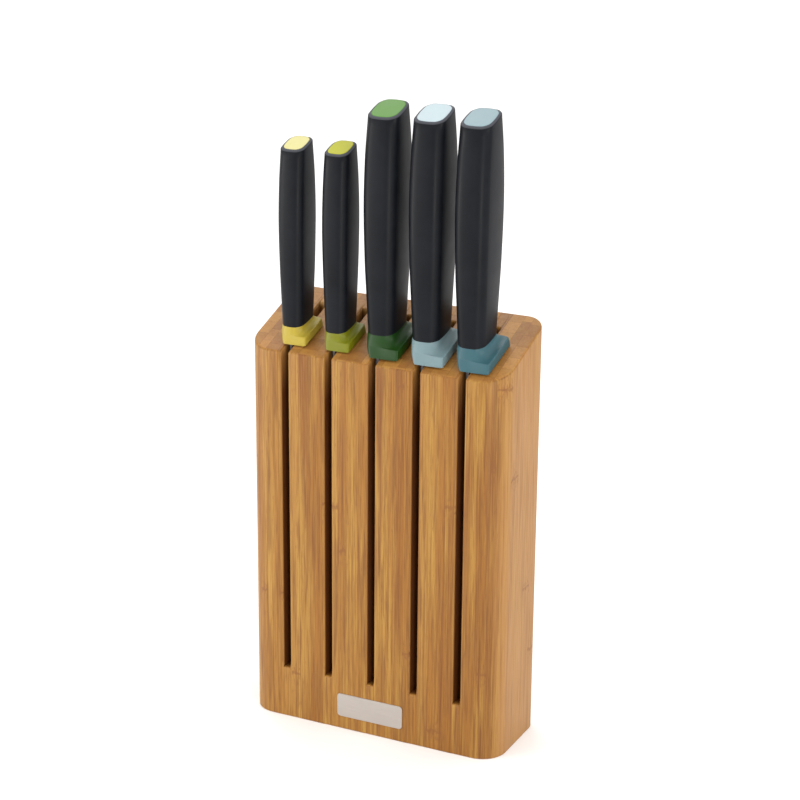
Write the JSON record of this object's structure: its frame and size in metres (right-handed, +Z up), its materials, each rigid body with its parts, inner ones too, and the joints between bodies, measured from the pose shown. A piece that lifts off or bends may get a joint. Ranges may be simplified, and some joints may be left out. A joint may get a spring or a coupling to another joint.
{
  "type": "knife block with knives",
  "caption": "Upright bamboo knife block with a sloping top and front-open slots, holding knives with dark soft grips, coloured side-flanged collars and coloured end caps.",
  "frame": {"origin": "middle of the overall footprint, on the surface the block stands on", "axes": "+Z up along the blades and slots; -Y is the front, where the slots are open; +X is to the right seen from the front"},
  "size_m": [0.16, 0.0622, 0.3687],
  "materials": {
    "bamboo": "satin oiled bamboo, upright strips",
    "slot_bamboo": "satin bamboo spacer strip",
    "plate_metal": "fine brushed, blank",
    "blade_steel": "satin ground",
    "grip_rubber": "soft-touch charcoal",
    "core_plastic": "moulded",
    "collar_yellow": "satin moulded",
    "collar_lime": "satin moulded",
    "collar_green": "satin moulded",
    "collar_pale_blue": "satin moulded",
    "collar_teal": "satin moulded"
  },
  "bodies": {
    "block": {"stave_1": "bamboo", "stave_2": "bamboo", "stave_3": "bamboo", "stave_4": "bamboo", "stave_5": "bamboo", "stave_6": "bamboo", "slot_base_1": "slot_bamboo", "slot_base_2": "slot_bamboo", "slot_base_3": "slot_bamboo", "slot_base_4": "slot_bamboo", "slot_base_5": "slot_bamboo", "slot_back_1": "slot_bamboo", "slot_back_2": "slot_bamboo", "slot_back_3": "slot_bamboo", "slot_back_4": "slot_bamboo", "slot_back_5": "slot_bamboo", "name_plate": "plate_metal"},
    "paring_knife": {"paring_blade": "blade_steel", "paring_collar": "collar_yellow", "paring_core": "core_plastic", "paring_grip": "grip_rubber", "paring_cap": "collar_yellow"},
    "serrated_knife": {"serrated_blade": "blade_steel", "serrated_collar": "collar_lime", "serrated_core": "core_plastic", "serrated_grip": "grip_rubber", "serrated_cap": "collar_lime"},
    "carving_knife": {"carving_blade": "blade_steel", "carving_collar": "collar_green", "carving_core": "core_plastic", "carving_grip": "grip_rubber", "carving_cap": "collar_green"},
    "bread_knife": {"bread_blade": "blade_steel", "bread_collar": "collar_pale_blue", "bread_core": "core_plastic", "bread_grip": "grip_rubber", "bread_cap": "collar_pale_blue"},
    "chef_knife": {"chef_blade": "blade_steel", "chef_collar": "collar_teal", "chef_core": "core_plastic", "chef_grip": "grip_rubber", "chef_cap": "collar_teal"}
  },
  "joints": [
    {"name": "paring_lift", "type": "slide", "parent": "block", "child": "paring_knife", "axis": [0, 0, 1], "range_m": [0, 0.111]},
    {"name": "serrated_lift", "type": "slide", "parent": "block", "child": "serrated_knife", "axis": [0, 0, 1], "range_m": [0, 0.137]},
    {"name": "carving_lift", "type": "slide", "parent": "block", "child": "carving_knife", "axis": [0, 0, 1], "range_m": [0, 0.215]},
    {"name": "bread_lift", "type": "slide", "parent": "block", "child": "bread_knife", "axis": [0, 0, 1], "range_m": [0, 0.215]},
    {"name": "chef_lift", "type": "slide", "parent": "block", "child": "chef_knife", "axis": [0, 0, 1], "range_m": [0, 0.181]}
  ]
}
